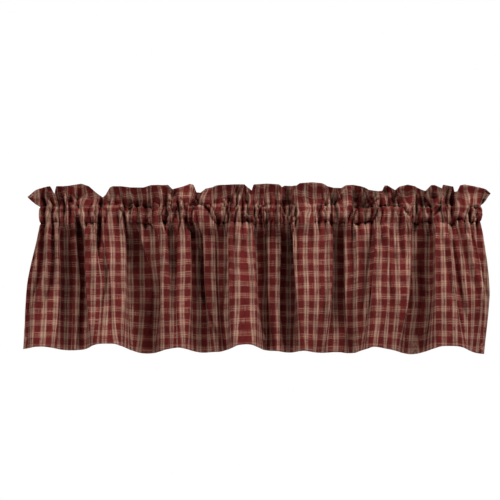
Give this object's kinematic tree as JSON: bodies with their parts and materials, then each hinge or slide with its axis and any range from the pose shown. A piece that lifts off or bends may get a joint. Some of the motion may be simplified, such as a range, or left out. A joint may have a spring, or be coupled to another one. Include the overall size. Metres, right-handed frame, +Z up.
{
  "type": "window valance",
  "caption": "Short gathered window valance in a woven plaid, one panel with a ruffled header above an open rod pocket and a skirt hanging in uneven folds.",
  "frame": {"origin": "middle of the rod pocket, on the line where a rod's axis lies", "axes": "+X along the rod towards the right end seen from the room, -Y towards the room, +Z up"},
  "size_m": [0.9969, 0.1211, 0.3585],
  "materials": {
    "plaid_cotton": "matte woven cotton, burgundy and tan plaid with thin dark lines"
  },
  "bodies": {
    "root": {"valance": "plaid_cotton"}
  },
  "joints": []
}
